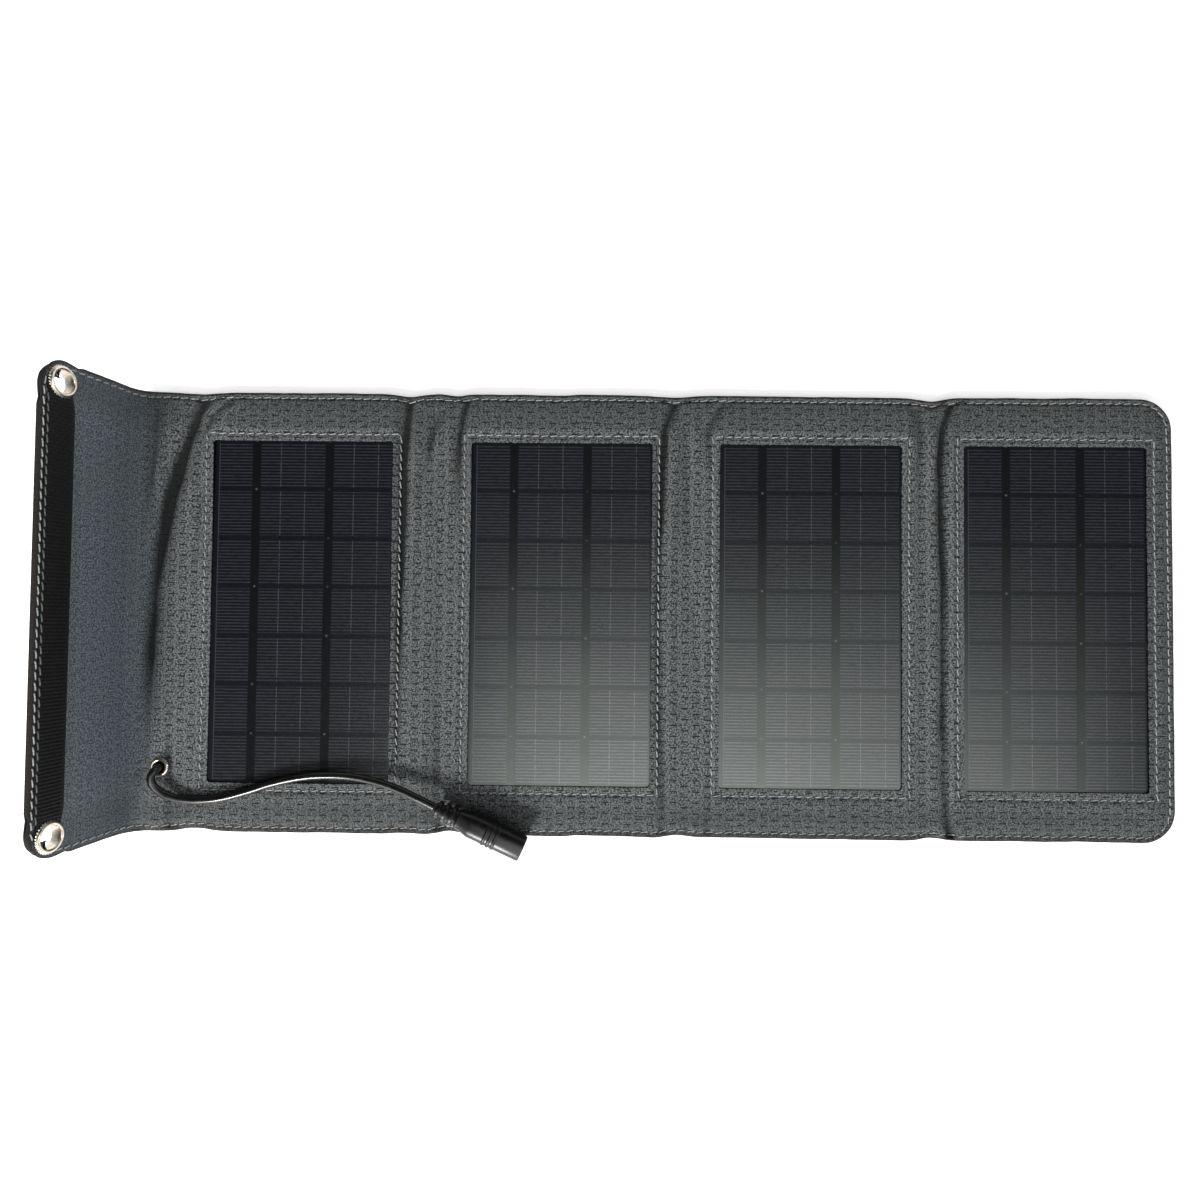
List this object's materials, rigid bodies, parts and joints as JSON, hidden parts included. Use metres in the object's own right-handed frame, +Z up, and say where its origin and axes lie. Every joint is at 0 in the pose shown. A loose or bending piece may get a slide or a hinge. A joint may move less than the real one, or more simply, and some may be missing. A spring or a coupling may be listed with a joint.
{
  "type": "folding camping solar panel",
  "caption": "Fabric-covered folding solar panel, lying open, with framed laminates, a curled closing flap with metal hanging eyelets, and a short output cord with a barrel socket.",
  "frame": {"origin": "middle of the footprint of the opened sheet with its curled flap, on the ground, the cord left out", "axes": "+X along the sheet from the flap to the last panel, +Y across it away from the cord, +Z up, out of the cells"},
  "size_m": [0.4265, 0.1855, 0.0484],
  "materials": {
    "front_fabric": "dark grey hexagon jacquard polyester with light grey lockstitch",
    "back_fabric": "plain black woven polyester",
    "board": "grey-brown pressed fibre board, hidden",
    "cells": "blue-black monocrystalline silicon with silver fingers",
    "laminate": "satin textured clear laminate over dark cells",
    "copper": "tinned copper flat lead, hidden",
    "circuit_board": "green circuit board, hidden",
    "black_plastic": "moulded black plastic, hidden",
    "cord_rubber": "smooth black PVC with a soft shine",
    "nickel": "nickel-plated brass, lightly worn",
    "hook_tape": "black woven tape with rows of fine hooks",
    "loop_tape": "black brushed loop tape"
  },
  "bodies": {
    "panel_1": {"back_cover_1": "back_fabric", "backing_board_1": "board", "cell_string_1": "cells", "clear_sheet_1": "laminate", "front_cover_1": "front_fabric", "front_web_1_2": "front_fabric", "back_web_1_2": "back_fabric", "flat_lead_1_2": "copper", "junction_board": "circuit_board", "blocking_diode": "black_plastic", "inner_lead": "cord_rubber", "cord_eyelet": "nickel", "output_cord": "cord_rubber"},
    "panel_2": {"back_cover_2": "back_fabric", "backing_board_2": "board", "cell_string_2": "cells", "clear_sheet_2": "laminate", "front_cover_2": "front_fabric", "front_web_2_3": "front_fabric", "back_web_2_3": "back_fabric", "flat_lead_2_3": "copper", "cord_boot": "cord_rubber", "plug_body": "cord_rubber", "socket_sleeve": "nickel", "centre_pin": "nickel"},
    "panel_3": {"back_cover_3": "back_fabric", "backing_board_3": "board", "cell_string_3": "cells", "clear_sheet_3": "laminate", "front_cover_3": "front_fabric", "front_web_3_4": "front_fabric", "back_web_3_4": "back_fabric", "flat_lead_3_4": "copper"},
    "panel_4": {"back_cover_4": "back_fabric", "backing_board_4": "board", "cell_string_4": "cells", "clear_sheet_4": "laminate", "front_cover_4": "front_fabric", "loop_strip": "loop_tape"},
    "flap_spine": {"flap_bend_front": "front_fabric", "flap_bend_back": "back_fabric", "flap_spine_front": "front_fabric", "flap_spine_back": "back_fabric"},
    "flap_tip": {"flap_tip_front": "front_fabric", "flap_tip_back": "back_fabric", "hook_strip": "hook_tape", "hanging_eyelet_upper": "nickel", "hanging_eyelet_lower": "nickel", "hanging_washer_upper": "nickel", "hanging_washer_lower": "nickel"}
  },
  "joints": [
    {"name": "fold_1_2", "type": "hinge", "parent": "panel_1", "child": "panel_2", "pos_m": [-0.08453, 0, 0.0089], "axis": [0, -1, 0], "range_deg": [0, 180], "deforming": ["front_web_1_2", "back_web_1_2", "flat_lead_1_2", "output_cord"]},
    {"name": "fold_2_3", "type": "hinge", "parent": "panel_2", "child": "panel_3", "pos_m": [0.01782, 0, -0.0008], "axis": [0, -1, 0], "range_deg": [-180, 0], "deforming": ["front_web_2_3", "back_web_2_3", "flat_lead_2_3"]},
    {"name": "fold_3_4", "type": "hinge", "parent": "panel_3", "child": "panel_4", "pos_m": [0.11677, 0, 0.0042], "axis": [0, -1, 0], "range_deg": [0, 180], "deforming": ["front_web_3_4", "back_web_3_4", "flat_lead_3_4"]},
    {"name": "flap_fold", "type": "hinge", "parent": "panel_1", "child": "flap_spine", "pos_m": [-0.19658, 0, 0.0023], "axis": [0, 1, 0], "range_deg": [-15, 45], "deforming": ["flap_bend_front", "flap_bend_back"]},
    {"name": "flap_tip_fold", "type": "hinge", "parent": "flap_spine", "child": "flap_tip", "pos_m": [-0.20866, 0, 0.03309], "axis": [0, 1, 0], "range_deg": [-7, 58]}
  ],
  "couplings": [
    {"joint": "fold_2_3", "follows": "fold_1_2", "ratio": -1},
    {"joint": "fold_3_4", "follows": "fold_1_2", "ratio": 1}
  ]
}
